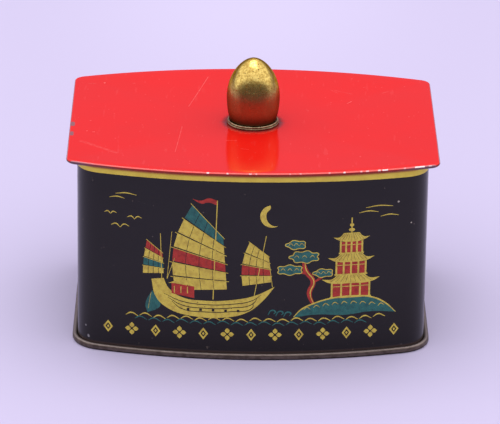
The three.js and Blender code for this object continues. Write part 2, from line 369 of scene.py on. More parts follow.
bm = bmesh.new()
wall_fold = Fold(bm, wall_outline.half_depth + 2 * seam_layer - sheet / 2, hook_top, -pi / 2)
wall_fold.run(hook_top - hook_foot).bend(-pi, seam_layer, steps=8)
wall_fold.run(wall_high.z - sheet / 2 - curl_radius - hook_foot).bend(1.5 * pi, curl_radius, steps=16)
carry_round(bm, wall_outline)
for line_x in (-0.5, 0, 0.5):
    back = [f for f in bm.faces if f.calc_center_median().y > 0]
    back += dict.fromkeys(part for f in back for part in f.edges[:] + f.verts[:])
    cut(bm, (lock_groove_x + line_x * lock_groove_width, 0, 0), (1, 0, 0), back)
for line_z in (lock_foot, lock_top):
    cut(bm, (0, 0, line_z), UP)
for vert in bm.verts:
    in_groove = abs(vert.co.x - lock_groove_x) < same_place and lock_foot < vert.co.z < lock_top
    if in_groove and vert.co.y > 0:
        vert.co.y -= lock_groove_depth
outward(bm, Vector((0, -far_off, wall_high.z / 2)))
wall_piece = made_piece(
    "printed_wall", bm, [black_lacquer, inside_tin], "tin_body", ["body_wall"]
)
thicken(wall_piece, sheet)


# The side seam. The strip's two edges are hooked together up the middle of the back and pressed flat, so that
# the folded layers stand inside the tin as a narrow strip. Its end edge shows as a line along one side.
lock_width = 5 * MM
lock_layers = 3 * sheet
lock_bevel = 0.14 * MM
lock_pressed_in = 0.02 * MM
end_line_x = -1 * MM
end_line_half = 0.1 * MM

bm = bmesh.new()
lock_shape = Matrix.Diagonal((lock_width, lock_layers, lock_top - lock_foot, 1))
bmesh.ops.create_cube(bm, size=1, matrix=lock_shape)
for line_x in (end_line_x - end_line_half, end_line_x, end_line_x + end_line_half):
    cut(bm, (line_x, 0, 0), (1, 0, 0))
for vert in bm.verts:
    if abs(vert.co.x - end_line_x) < same_place and vert.co.y < 0:
        vert.co.y += lock_groove_depth
corners = [e for e in bm.edges if len(e.link_faces) == 2 and e.calc_face_angle() > 1]
bmesh.ops.bevel(bm, geom=corners, offset=lock_bevel, affect="EDGES", segments=3, profile=0.5, material=-1)
bmesh.ops.dissolve_degenerate(bm, dist=same_place, edges=bm.edges[:])
lock_middle = wall_outline.half_depth - sheet - lock_layers / 2 + lock_pressed_in
bmesh.ops.translate(bm, verts=bm.verts[:], vec=(0, lock_middle, (lock_top + lock_foot) / 2))
made_piece("side_seam", bm, [inside_tin], "tin_body")


# The bottom. A pressed and recessed panel of brown-lacquered tinplate. Its edge goes down inside the wall,
# under it and up outside it, and is rolled over the wall's hook: the double seam that the tin stands on.
panel_height = 3.25 * MM
panel_step = 0.6 * MM
panel_step_radius = 0.4 * MM
step_inset = 4.5 * MM
last_hook_run = 0.1 * MM
rim_roll = 0.73 * MM


def brown_tin():
    finish = Finish("brown_tinplate", metallic=0.85)
    grain = finish.noise(1.2, detail=5, stretch=(0.25, 0.25, 2.5))
    blots = finish.rise(finish.noise(0.5, detail=5, shift=4), 0.4, 0.68)
    base = finish.mix(blots, colour(108, 95, 88), colour(84, 72, 66))
    height = finish.z + finish.noise(0.7, detail=4, shift=8) * 0.3
    rubbed = finish.rise(height, 1.85, 2.15)
    # Darker and rougher towards the floor: painted shade on the seam's rounded foot, where it curls under
    # towards the floor.
    grime_and_shade = finish.rise(height, 0.9, 0.5)
    shiny = finish.mix(rubbed * 0.75, base, colour(162, 148, 144))
    finish.set("Base Color", finish.mix(grime_and_shade * 0.9, shiny, colour(22, 18, 22)))
    finish.set("Roughness", 0.34 + grain * 0.16 + grime_and_shade * 0.3)
    finish.bump(grain, 0.02)
    return finish.material


bm = bmesh.new()
step_bend = pi / 3
step_drop = panel_step - 2 * panel_step_radius * (1 - cos(step_bend))
leg_top = panel_height - seam_layer
leg_foot = sheet / 2 + seam_layer
top_turn = seam_height - sheet / 2 - rim_roll
step_width = 2 * panel_step_radius * sin(step_bend) + step_drop / tan(step_bend)
panel_reach = wall_outline.half_depth - sheet / 2 - 2 * seam_layer - step_inset - step_width
panel_fold = Fold(bm, panel_reach, panel_height + panel_step, 0)
panel_fold.bend(-step_bend, panel_step_radius).run(step_drop / sin(step_bend))
panel_fold.bend(step_bend, panel_step_radius)
panel_fold.run(step_inset).bend(-pi / 2, seam_layer, steps=6).run(leg_top - leg_foot)
panel_fold.bend(pi / 2, seam_layer, steps=6).run(2 * seam_layer).bend(pi / 2, seam_layer, steps=8)
panel_fold.run(top_turn - leg_foot).bend(pi, rim_roll, steps=14).run(last_hook_run)
carry_round(bm, wall_outline)
rims = [e for e in bm.edges if e.is_boundary and e.verts[0].co.z > panel_height]
bmesh.ops.contextual_create(bm, geom=rims)
outward(bm, -far_off * UP)
bottom_piece = made_piece("seamed_bottom", bm, [brown_tin()], "tin_body", ["bottom_panel"])
thicken(bottom_piece, sheet)


# The lid. A sheet printed red, pressed into a shallow dish, with its edge folded under in a hem all round.
# Years of lifting have scratched it and chipped the print along the hem, where the white undercoat shows.
lid_corner_radius = 4.2 * MM
lid_outline = Outline(lid_high.x, lid_high.y, front_bow_radius + overhang, lid_corner_radius)
hem_layer = 0.52 * MM
hem_clearance = 0.3 * MM
hem_start = hem_layer + sheet / 2
foot_low, foot_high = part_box("knob_foot")
stud_hole = 1.7 * MM
lid_dish = lid_high.z - foot_low.z
flat_margin = 1 * MM
flat_share = (foot_high.x + flat_margin) / (lid_outline.half_depth - hem_start)
dish_rings = 14
RED = colour(240, 27, 18)
WORN_RED = colour(252, 128, 122)
UNDERCOAT = colour(250, 236, 232)
scratches = (
    ((-15.5, 42), (-18.5, 29), 0.26, 0.75),
    ((-18.5, 29), (-22, 14), 0.3, 0.6),
    ((-24, -5.5), (-26, -30), 0.24, 0.8),
    ((-57.5, -22), (-45.5, -31.5), 1.1, 0.36),
    ((27, 31), (29.5, 28), 0.22, 0.5),
    ((28.5, 30.5), (34.5, 27), 0.26, 0.6),
    ((32.5, 18), (34, 20), 0.3, 0.8),
    ((45, 28), (47, 29.5), 0.3, 0.5),
    ((-9, -18), (-5.5, -18), 0.2, 0.7),
    ((-4, -26), (-1.5, -26.5), 0.2, 0.6),
    ((-57, 33.5), (-54.5, 34), 0.3, 0.4),
    ((-51.5, 34.5), (-51.5, 35), 0.5, 0.9),
    ((-56, -12), (-56, -12.5), 0.45, 0.9),
    ((-54, -13), (-53.5, -13), 0.45, 0.8),
)
hem_chips = (
    (-15, 0.3, 0.85), (-8.5, 0.25, 0.6), (-1, 0.3, 0.5), (1, 0.2, 0.4), (12, 0.15, 0.25),
    (15.5, 0.2, 0.3), (25, 0.2, 0.35), (30, 0.3, 0.8), (35.5, 0.25, 0.45), (37.5, 0.4, 0.5),
    (41.5, 0.35, 0.75), (43.5, 0.8, 0.9), (50, 0.25, 0.35), (55, 1.6, 1.0), (58.5, 0.4, 0.4),
)


def dish_drop(share):
    """How far the lid has sunk below its edge, at a share of the way from its middle to its hem."""
    return lid_dish * (1 - share**2) / (1 - flat_share**2)


def scratch(finish, start, end, width):
    """A fine straight scratch across the lid: 1 along its middle, and nothing so many millimetres off it."""
    across, along = end[0] - start[0], end[1] - start[1]
    x, y = finish.x - start[0], finish.y - start[1]
    share = ((x * across + y * along) / (across**2 + along**2)).maths("MAXIMUM", 0).maths("MINIMUM", 1)
    off_line = finish.distance(x - share * across, y - share * along)
    return finish.rise(off_line, width, width * 0.3)


def red_print():
    finish = Finish("red_lacquer", specular=0.38)
    cloud = finish.rise(finish.noise(0.05, detail=4), 0.3, 0.7)
    lacquer = finish.mix(cloud, RED, colour(236, 29, 21))
    wander = finish.noise(0.8, detail=3, shift=2)
    lines = sum(scratch(finish, start, end, width) * depth for start, end, width, depth in scratches)
    broken = finish.rise(finish.noise(1.1, detail=3, shift=13), 0.4, 0.62)
    hair = finish.rise(finish.noise(0.55, detail=6, stretch=(1, 0.16, 1), turn=0.35, shift=4), 0.63, 0.72)
    freckles = finish.specks(0.22, 0.09, shift=5, kept=0.8) + finish.specks(0.5, 0.14, shift=15, kept=0.45)
    scraped = lines * (0.25 + broken * 0.75)
    pale = finish.mix(scraped * 0.5 + hair * 0.07 + freckles * 0.36, lacquer, WORN_RED)
    bowed = finish.distance(finish.x, abs(finish.y) + lid_outline.bow_centre / MM)
    from_bow = lid_outline.bow_radius / MM - bowed
    from_edge = (lid_outline.half_width / MM - abs(finish.x)).maths("MINIMUM", from_bow)
    below_top = lid_high.z / MM - finish.z
    near_edge = finish.rise(from_edge, 5, 4)
    front_edge = finish.rise(finish.y, -20, -30)
    at_ends = finish.rise(abs(finish.x), 48, 60.5)
    # The pale pink line along the hem's rounded shoulder is worn print and also a painted highlight where the
    # bend meets the light.
    shoulder_wear_and_highlight = finish.rise(from_edge, 0.5, 0.26) * finish.rise(below_top, 0.5, 0.34)
    shoulder_red = finish.mix(front_edge * at_ends * 0.9, WORN_RED, colour(226, 196, 202))
    hem_wear_and_highlight = finish.mix(shoulder_wear_and_highlight * (0.35 + wander * 0.55), pale, shoulder_red)
    # The hem's lower face is painted dark red as shade, greyed in places where it is worn to the steel.
    hem_underside_shade = finish.rise(below_top + wander * 0.1, 0.36, 0.5) * near_edge
    greyed = finish.rise(finish.noise(0.05, detail=2, shift=12), 0.5, 0.58)
    face_red = finish.mix(greyed, colour(108, 26, 14), colour(84, 48, 46))
    under_red = finish.mix(hem_underside_shade * 0.92, hem_wear_and_highlight, face_red)
    dull_edge = finish.rise(from_edge, 0.42, 0.2) * at_ends * near_edge
    dulled = finish.mix(dull_edge * (0.55 + hem_underside_shade * 0.4), under_red, colour(86, 64, 80))
    along = finish.x + wander * 0.5 - 0.25
    flaked = sum(finish.rise(abs(along - at), half + 0.2, half) * depth for at, half, depth in hem_chips)
    flaked = flaked * front_edge + finish.rise(finish.noise(1.3, detail=4, shift=21), 0.7, 0.74) * 0.5
    rough_edge = finish.noise(2.4, detail=3, shift=31) * 0.4
    chips = flaked * finish.rise(from_edge + rough_edge, 0.66, 0.5) * finish.rise(below_top, 0.5, 0.36)
    chips = chips.maths("MINIMUM", 1)
    chipped = finish.mix(chips, dulled, UNDERCOAT)
    nicks = scratch(finish, (-61, -5), (-61, -7.5), 1.1)
    nicks += scratch(finish, (-61, -14), (-61, -16.5), 1.1) * 0.75
    nicked = finish.mix(finish.rise(nicks + rough_edge, 0.4, 1) * 0.85, chipped, colour(128, 104, 112))
    from_foot = finish.distance(finish.x, finish.y) - foot_high.x / MM
    # A darker ring on the lid round the knob's foot: painted shade, with some dirt.
    grime_and_shade = finish.rise(from_foot - wander * 0.8, 2, -0.2)
    finish.set("Base Color", finish.mix(grime_and_shade * 0.75, nicked, colour(84, 40, 42)))
    finish.set("Roughness", 0.1 + cloud * 0.04 + lines * 0.25 + chips * 0.4)
    finish.bump(finish.noise(0.03, detail=1, shift=5), 0.1)
    return finish.material


gold_tinplate = bright_tin("gold_tinplate", colour(196, 158, 84), 0.28)
bm = bmesh.new()
hem_fold = Fold(bm, lid_outline.half_depth - hem_start, lid_high.z - sheet / 2, 0)
hem_fold.bend(-pi, hem_layer, steps=14).run(overhang - hem_clearance - hem_start)
carry_round(bm, lid_outline)
rims = [e for e in bm.edges if e.is_boundary and e.verts[0].co.z > lid_high.z - sheet]
for ring in range(dish_rings):
    was = 1 + (flat_share - 1) * ring / dish_rings
    now = 1 + (flat_share - 1) * (ring + 1) / dish_rings
    drawn_in = bmesh.ops.extrude_edge_only(bm, edges=rims)["geom"]
    rims = [e for e in drawn_in if isinstance(e, bmesh.types.BMEdge) and e.is_boundary]
    ring_verts = verts_of(drawn_in)
    bmesh.ops.scale(bm, verts=ring_verts, vec=(now / was, now / was, 1))
    bmesh.ops.translate(bm, verts=ring_verts, vec=(0, 0, dish_drop(was) - dish_drop(now)))
hole_place = Matrix.Translation((0, 0, foot_low.z - sheet / 2))
hole = bmesh.ops.create_circle(bm, cap_ends=False, segments=32, radius=stud_hole, matrix=hole_place)
hole_edges = list(dict.fromkeys(e for v in hole["verts"] for e in v.link_edges))
bmesh.ops.triangle_fill(bm, edges=rims + hole_edges, use_beauty=True, normal=UP)
outward(bm, far_off * UP)
lid_piece = made_piece("printed_lid", bm, [red_print(), gold_tinplate], "lid", ["lid_plate"])
thicken(lid_piece, sheet)


# The collar. A drawn ring of gold-lacquered tinplate. Its flange reaches out into the lid's hem, leaning as
# the dish does, its wall slides down inside the tin's curled edge, and its foot turns in.
collar_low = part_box("lid_collar")[0]
curl_width = 1.6 * MM
collar_gap = 0.3 * MM
collar_bend = 0.5 * MM
collar_lip = 3 * MM
flange_tilt = atan2(2 * lid_dish / (1 - flat_share**2), lid_outline.half_depth - hem_start)
flange_middle = lid_high.z - sheet / 2 - hem_layer

bm = bmesh.new()
rim_reach = overhang - hem_start
collar_wall = curl_width + collar_gap + sheet / 2
flange_end = collar_bend * (1 - sin(flange_tilt)) - collar_wall
collar_top = flange_middle - (rim_reach - hem_clearance) * tan(flange_tilt)
collar_fold = Fold(bm, wall_outline.half_depth + hem_clearance, collar_top, pi + flange_tilt)
collar_fold.run((hem_clearance - flange_end) / cos(flange_tilt))
collar_fold.bend(pi / 2 - flange_tilt, collar_bend, steps=8)
collar_fold.run(collar_fold.tip.co.z - collar_low.z - sheet / 2 - collar_bend)
collar_fold.bend(-pi / 2, collar_bend, steps=8).run(collar_lip)
carry_round(bm, wall_outline)
flange_rim = bmesh.new()
Fold(flange_rim, lid_outline.half_depth - hem_start, flange_middle, 0)
carry_round(flange_rim, lid_outline)
rim_mesh = bpy.data.meshes.new("flange_rim")
flange_rim.to_mesh(rim_mesh)
flange_rim.free()
bm.from_mesh(rim_mesh)
bpy.data.meshes.remove(rim_mesh)
flange_edges = [e for e in bm.edges if e.is_boundary and e.verts[0].co.z > flange_middle - 2 * sheet]
bmesh.ops.bridge_loops(bm, edges=flange_edges + [e for e in bm.edges if e.is_wire])
outward(bm, Vector((0, -far_off, collar_low.z)))
collar_piece = made_piece("lid_neck", bm, [gold_tinplate], "lid", ["lid_collar"])
thicken(collar_piece, sheet)


# The knob. A hollow egg pressed from thin brass, fuller below than above, standing in its foot. The crown is
# rubbed bright by fingers and finely pitted, and the lower half has gone brown.
knob_low, knob_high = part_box("knob_shell")
foot_sheet = 0.5 * MM
knob_sheet = 0.5 * MM
knob_belly = 9.2 * MM
knob_lower_reach = 16.6 * MM
crown_power = 1.16


def old_brass():
    finish = Finish("old_brass")
    height = finish.z - foot_low.z / MM
    low = finish.rise(height + finish.noise(0.3, detail=4) * 3, 18.5, 11)
    mottle = finish.rise(finish.noise(1.25, detail=6, shift=3, roughness=0.66), 0.36, 0.64)
    faded = finish.rise(finish.noise(0.22, detail=3, shift=12), 0.36, 0.62)
    streaks = finish.rise(finish.noise(0.28, detail=1, stretch=(1, 1, 0.06), shift=8), 0.3, 0.75)
    polished = finish.mix(mottle * 0.75 + faded * 0.25, colour(255, 224, 130), colour(186, 148, 68))
    browned = finish.mix(streaks * 0.6, colour(154, 116, 82), colour(122, 84, 56))
    brass = finish.mix(low * 0.95, polished, browned)
    # Darker just above the foot: painted shade where the egg stands in its foot.
    shade_above_foot = finish.rise(height + streaks * 1.2, 7, 2.2)
    pits = finish.specks(1.1, 0.34, shift=2, kept=0.34) * (1 - low * 0.85)
    blots = finish.rise(finish.noise(1.1, detail=7, shift=17, roughness=0.7), 0.57, 0.7) * (1 - low * 0.6)
    spotted = finish.mix(pits * 0.7 + blots * 0.5, brass, colour(62, 50, 28))
    finish.set("Base Color", finish.mix(shade_above_foot * 0.75, spotted, colour(58, 36, 26)))
    finish.set("Metallic", 1 - low * 0.12)
    finish.set("Specular Tint", colour(196, 158, 116))
    finish.set("Roughness", 0.17 + mottle * 0.1 + low * 0.1 + blots * 0.22 + pits * 0.2)
    dents = finish.noise(0.3, detail=3, shift=6) - pits * 0.35 - blots * 0.12
    finish.bump(dents, 0.11)
    return finish.material


bm = bmesh.new()
bmesh.ops.create_uvsphere(bm, u_segments=96, v_segments=72, radius=1)
for vert in bm.verts:
    level = vert.co.z
    around = hypot(vert.co.x, vert.co.y)
    narrowed = around ** (crown_power - 1) if level > 0 and around > 0 else 1
    rise = knob_high.z - foot_low.z - knob_belly if level > 0 else knob_lower_reach
    vert.co.x *= narrowed * knob_high.x
    vert.co.y *= narrowed * knob_high.x
    vert.co.z = foot_low.z + knob_belly + level * rise
cut(bm, knob_low, UP, clear_inner=True)
outward(bm, Vector((0, -far_off, knob_high.z)))
knob_piece = made_piece("brass_egg", bm, [old_brass()], "lid", ["knob_shell"])
thicken(knob_piece, knob_sheet, offset=-1)


# The knob's foot. A shallow brass cup that the egg is pressed into, turned with two beads round its rim and a
# groove between them. The groove is painted dark as shade, with some grime, and so is the foot's bottom edge.
foot_bead = 0.33 * MM
foot_rim_width = 0.86 * MM
foot_groove = 0.72


def turned_piece(bm, name, material, replaced, steps=64):
    """Spins a drawn half section once round the tin's middle axis and makes it a piece of the lid."""
    line = bm.verts[:] + bm.edges[:]
    bmesh.ops.spin(bm, geom=line, cent=(0, 0, 0), axis=UP, angle=2 * pi, steps=steps, use_merge=True)
    bmesh.ops.remove_doubles(bm, verts=bm.verts[:], dist=same_place)
    bmesh.ops.recalc_face_normals(bm, faces=bm.faces[:])
    made_piece(name, bm, [material], "lid", [replaced])


def foot_brass():
    finish = Finish("foot_brass", metallic=1.0)
    height = finish.z - foot_low.z / MM
    grime_and_shade = finish.noise(0.9, detail=5)
    brass = finish.mix(finish.rise(grime_and_shade, 0.35, 0.7), colour(196, 176, 140), colour(146, 122, 92))
    # The groove and the bottom edge are darkened: painted shade, roughened by grime.
    groove = finish.rise(abs(height - foot_groove) + grime_and_shade * 0.12, 0.3, 0.12)
    base = finish.rise(height, 0.1, 0)
    finish.set("Base Color", finish.mix(groove * 0.55 + base * 0.5, brass, colour(48, 36, 28)))
    finish.set("Roughness", 0.3 + grime_and_shade * 0.2 + groove * 0.3)
    finish.bump(grime_and_shade, 0.03)
    return finish.material


bm = bmesh.new()
foot_inner = foot_high.x - foot_rim_width
bead_across = foot_inner - foot_high.x + 2 * foot_bead
bead_above = foot_high.z - foot_low.z - 2 * foot_bead
bead_lean = atan2(bead_above, bead_across)
bead_gap = hypot(bead_above, bead_across) - 2 * foot_bead
foot_line = Fold(bm, stud_hole, foot_low.z, 0).run(foot_high.x - foot_bead - stud_hole)
foot_line.bend(bead_lean + pi / 2, foot_bead, steps=16).turn(-pi / 2).run(bead_gap).turn(-pi / 2)
foot_line.bend(2 * pi - bead_lean, foot_bead, steps=20)
foot_line.run(foot_high.z - foot_low.z - foot_bead - foot_sheet).turn(-pi / 2)
foot_line.run(foot_inner - stud_hole).turn(pi / 2).run(foot_sheet)
turned_piece(bm, "brass_foot", foot_brass(), "knob_foot")


# The stud, the washer and the nut. Plain steel hardware under the lid: the stud's flat head lies on the floor
# of the foot, its thread comes down through the lid, and the square nut draws it tight on the washer.
stud_low, stud_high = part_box("knob_stud")
washer_low, washer_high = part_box("knob_washer")
stud_radius = 1.5 * MM
stud_head = 0.8 * MM
thread_root = 1.24 * MM
thread_pitch = 0.5 * MM
thread_steps = 24
ridge_half = 0.45 * thread_pitch
ridge_foot = thread_root - 0.05 * MM
edge_round = 0.14 * MM


def brushed_steel():
    finish = Finish("plain_steel", metallic=1.0)
    brushed = finish.noise(1.3, detail=5, stretch=(1, 1, 0.2))
    rust = finish.rise(finish.noise(0.6, detail=5, shift=3), 0.6, 0.74)
    steel = finish.mix(brushed, colour(186, 186, 190), colour(142, 140, 140))
    finish.set("Base Color", finish.mix(rust * 0.6, steel, colour(122, 76, 48)))
    finish.set("Roughness", 0.26 + brushed * 0.16 + rust * 0.3)
    finish.bump(brushed, 0.015)
    return finish.material


plain_steel = brushed_steel()
bm = bmesh.new()
stud_line = Fold(bm, 0, stud_high.z, 0).run(stud_high.x - edge_round).bend(-pi / 2, edge_round)
stud_line.run(stud_head - edge_round).turn(-pi / 2).run(stud_high.x - thread_root).turn(pi / 2)
stud_line.run(stud_high.z - stud_head - stud_low.z - edge_round).bend(-pi / 2, edge_round)
stud_line.run(thread_root - edge_round)
turned_piece(bm, "threaded_stud", plain_steel, "knob_stud", steps=32)

bm = bmesh.new()
thread_foot = stud_low.z + edge_round
thread_turns = int((stud_high.z - stud_head - thread_foot) / thread_pitch) - 1
ridge = [
    bm.verts.new((0, -radius, thread_foot + share * ridge_half))
    for radius, share in ((ridge_foot, 0), (stud_radius, 1), (ridge_foot, 2))
]
bmesh.ops.contextual_create(bm, geom=ridge)
bmesh.ops.spin(
    bm,
    geom=bm.verts[:] + bm.edges[:] + bm.faces[:],
    cent=(0, 0, 0),
    axis=UP,
    dvec=(0, 0, thread_pitch / thread_steps),
    angle=2 * pi * thread_turns,
    steps=thread_steps * thread_turns,
)
bmesh.ops.recalc_face_normals(bm, faces=bm.faces[:])
made_piece("stud_thread", bm, [plain_steel], "lid")

bm = bmesh.new()
washer_line = Fold(bm, stud_hole, washer_high.z, 0).run(washer_high.x - stud_hole)
washer_line.turn(-pi / 2).run(washer_high.z - washer_low.z - edge_round).bend(-pi / 2, edge_round)
washer_line.run(washer_high.x - stud_hole - 2 * edge_round).bend(-pi / 2, edge_round)
washer_line.run(washer_high.z - washer_low.z - edge_round)
turned_piece(bm, "lid_washer", plain_steel, "knob_washer")

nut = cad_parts["knob_nut"]
nut.data.materials.clear()
nut.data.materials.append(plain_steel)


# The printed picture. Flat inks laid on the black of the bowed front, one piece for each colour. Each shape
# is drawn flat, in millimetres across and up, and rolled on to the tin.
ink_gap = 0.03 * MM
ink_thickness = 0.016
strip_width = 3 * MM


def moved(points, across, up, size=1):
    """The points of a small drawing, carried to a place and made larger or smaller."""
    return [(across + size * x, up + size * z) for x, z in points]


class Ink:
    """One colour of the picture. Layers are a hair apart, so that what is printed later lies on top."""

    def __init__(self, name, slot, material):
        self.name, self.slot, self.material = name, slot, material
        self.bm = bmesh.new()

    def _drawn(self, points, corners, closed):
        curve = bpy.data.curves.new(self.name, "CURVE")
        curve.resolution_u = 6
        curve.splines.new("BEZIER")
        spline = curve.splines[0]
        spline.use_cyclic_u = closed
        spline.bezier_points.add(len(points) - 1)
        for i, (point, (across, up)) in enumerate(zip(spline.bezier_points, points)):
            point.co = (across, up, 0)
            handle = "VECTOR" if i in corners else "AUTO"
            point.handle_left_type = point.handle_right_type = handle
        return curve

    def _lay(self, curve, layer, flatten=1.0):
        drawn = bpy.data.objects.new(self.name, curve)
        mesh = bpy.data.meshes.new_from_object(drawn)
        standing = ((MM, 0, 0, 0), (0, 0, -flatten * MM, -layer * ink_gap), (0, MM, 0, 0), (0, 0, 0, 1))
        mesh.transform(Matrix(standing))
        shape = bmesh.new()
        shape.from_mesh(mesh)
        bmesh.ops.remove_doubles(shape, verts=shape.verts[:], dist=same_place)
        shape.to_mesh(mesh)
        shape.free()
        self.bm.from_mesh(mesh)
        bpy.data.meshes.remove(mesh)
        bpy.data.objects.remove(drawn)
        bpy.data.curves.remove(curve)

    def plate(self, points, layer=1, corners=()):
        """A filled shape. Its outline is smooth, apart from the points whose numbers are corners."""
        curve = self._drawn(points, corners, closed=True)
        curve.dimensions = "2D"
        curve.fill_mode = "BOTH"
        curve.extrude = ink_thickness / 2
        self._lay(curve, layer)

    def patch(self, points, layer=1):
        """A filled shape with straight sides."""
        self.plate(points, layer, corners=range(len(points)))

    def line(self, points, width=0.4, layer=2, thin_ends=0.4):
        """A stroke of the brush, whose ends are thinner than its middle."""
        curve = self._drawn(points, (), closed=False)
        curve.dimensions = "3D"
        curve.bevel_depth = width / 2
        curve.bevel_resolution = 0
        curve.use_fill_caps = True
        ends = curve.splines[0].bezier_points
        ends[0].radius = ends[-1].radius = thin_ends
        self._lay(curve, layer, flatten=ink_thickness / width)

    def press(self):
        """Rolls the drawn shapes on to the bowed front and makes them one piece."""
        strips = int(wall_outline.corner.x / strip_width)
        for strip in range(-strips, strips + 1):
            cut(self.bm, (strip * strip_width, 0, 0), (1, 0, 0))
        bmesh.ops.dissolve_degenerate(self.bm, dist=same_place / 2, edges=self.bm.edges[:])
        for vert in self.bm.verts:
            vert.co.y = wall_outline.front(vert.co.x, -vert.co.y)
        bmesh.ops.recalc_face_normals(self.bm, faces=self.bm.faces[:])
        made_piece(self.name, self.bm, [self.material], "tin_body")


def ink_finish(name, base, thin):
    finish = Finish(name, specular=0.35)
    patchy = finish.rise(finish.noise(0.7, detail=5, shift=4), 0.38, 0.72)
    pinholes = finish.specks(0.8, 0.2, shift=3, kept=0.3)
    inked = finish.mix(patchy, base, thin)
    finish.set("Base Color", finish.mix(pinholes * 0.8, inked, BLACK))
    finish.set("Roughness", 0.24 + patchy * 0.12)
    finish.bump(patchy, 0.004)
    return finish.material


gold_ink = Ink("gold_ink", "gold_print", ink_finish("gold_print", colour(192, 171, 70), colour(168, 144, 58)))
teal_ink = Ink("teal_ink", "teal_print", ink_finish("teal_print", colour(34, 92, 88), colour(26, 74, 74)))
red_ink = Ink("red_ink", "red_print", ink_finish("red_print", colour(158, 42, 30), colour(132, 32, 24)))
black_ink = Ink("black_ink", "black_lacquer", black_lacquer)


# The junk. A sailing boat under three battened sails, the largest thing in the picture. Places are given from
# its middle at the water line.
boat_x = -14
water_z = 16.5
boat_size = 0.95
batten_past = 0.05
panel_share = 0.9


def aboard(points):
    return moved(points, boat_x, water_z, boat_size)


hull = [(-20.5, 11.5), (-18.8, 4.6), (-14, 0.4), (-5, -1.8), (5, -1.8), (13, 0.2), (18.5, 4.6)]
hull += [(22.8, 10.2), (16, 6.8), (8, 5), (-2, 4.4), (-10, 5.4), (-14.5, 8.6), (-16.2, 12.2)]
gold_ink.plate(aboard(hull), corners=(0, 7, 13))
for drop in (1.5, 2.9, 4.3):
    plank = [(-17.6 + drop, 7.9 - drop), (-10, 5.3 - drop), (-2, 4.4 - drop), (8, 4.9 - drop)]
    plank += [(15, 6.4 - drop), (19.6 - drop, 8.6 - drop)]
    black_ink.line(aboard(plank), 0.28)
for port in range(5):
    port_x = -8 + 4.4 * port
    port_hole = [(port_x, 0.4), (port_x + 0.9, 0.4), (port_x + 0.9, 1.3), (port_x, 1.3)]
    black_ink.patch(aboard(port_hole), layer=2)
red_ink.patch(aboard([(-13.4, 6.6), (-13.4, 10.6), (-5.4, 9.6), (-5.4, 5.2)]), layer=2)
gold_ink.plate(aboard([(-14.6, 10.5), (-9, 12.2), (-4.4, 9.4), (-9, 10.4)]), layer=3, corners=(0, 2))
for door in range(3):
    door_x = -12.4 + 2.3 * door
    gold_ink.line(aboard([(door_x, 6.9), (door_x, 9.4)]), 0.3, layer=3, thin_ends=1)
rudder = [(-20.2, 7.2), (-22.6, 1.6), (-21.8, -1.4), (-17.6, 1.0), (-17.2, 2.4)]
teal_ink.plate(aboard(rudder), corners=(0, 2, 4))
gold_ink.line(aboard([(-20.6, 6.4), (-21.6, 0.2)]), 0.3)


def sail(luff, leech, inks):
    """A sail between two edges, each a function of the share of the way up, with a batten over each panel."""

    def between(across, up):
        return tuple(near + (far - near) * across for near, far in zip(luff(up), leech(up)))

    for panel, ink in enumerate(inks):
        low, high = panel / len(inks), (panel + panel_share) / len(inks)
        ink.patch(aboard([luff(low), luff(high), leech(high), leech(low)]))
        for seam in (0.25, 0.5, 0.75):
            black_ink.line(aboard([between(seam, low), between(seam, high)]), 0.16, thin_ends=1)
        batten = [between(-batten_past, high), between(1 + batten_past, high)]
        gold_ink.line(aboard(batten), 0.3, layer=3, thin_ends=0.7)


gold_ink.line(aboard([(1.2, 5), (2.4, 42.5)]), 0.8)
gold_ink.line(aboard([(-16.8, 10), (-17.4, 29)]), 0.6)
gold_ink.line(aboard([(15.6, 6.5), (19.6, 29.5)]), 0.6)
sail(
    lambda up: (6 - 1.5 * up, 9 + 20 * up),
    lambda up: (-12 - 2.2 * sin(pi * up) + 6 * up**2, 8 + 33 * up),
    (gold_ink, gold_ink, red_ink, gold_ink, gold_ink, teal_ink),
)
sail(
    lambda up: (-16.2 - 0.5 * up, 14 + 8 * up),
    lambda up: (-23.5 + 1.5 * up**2, 13.5 + 13 * up),
    (gold_ink, teal_ink, gold_ink, red_ink),
)
sail(
    lambda up: (21.5 - up, 12 + 10 * up),
    lambda up: (11.5 + 2.5 * up**2 - 0.8 * sin(pi * up), 10.5 + 17 * up),
    (gold_ink, red_ink, gold_ink, gold_ink),
)
pennant = [(2.4, 42.4), (-0.6, 43.2), (-3.4, 42.2), (-6.4, 42.8), (-3.2, 41.1), (-0.6, 41.6), (2.4, 40.6)]
red_ink.plate(aboard(pennant), corners=(0, 3, 6))
for rope in ([(-15, 12), (-13.4, 30)], [(-15, 12), (-12.4, 20)], [(22, 10), (20.4, 22)]):
    gold_ink.line(aboard(rope), 0.18, thin_ends=1)


# The sea. Two rows of brushed ripples under the boat and the island, gold over teal, with three curling
# crests before the bow.
ripple_width = 4.6
ripple = [(0, 0), (1.7, 0.95), (4.1, -0.1)]
crest = [(0, 0), (1.2, 1.7), (2.5, 1.2), (1.9, 0.4)]
for row, (ink, row_z, first, last) in enumerate(((gold_ink, 13.6, -42, 46), (teal_ink, 12.3, -39, 43))):
    for place in range(int((last - first) / ripple_width)):
        swell = 0.25 * sin(2.2 * place + row)
        ink.line(moved(ripple, first + ripple_width * place, row_z + swell), 0.5, layer=1)
for place in range(3):
    teal_ink.line(moved(crest, boat_x + 19.5 + 2.6 * place, 15.9 - 0.35 * place), 0.55)


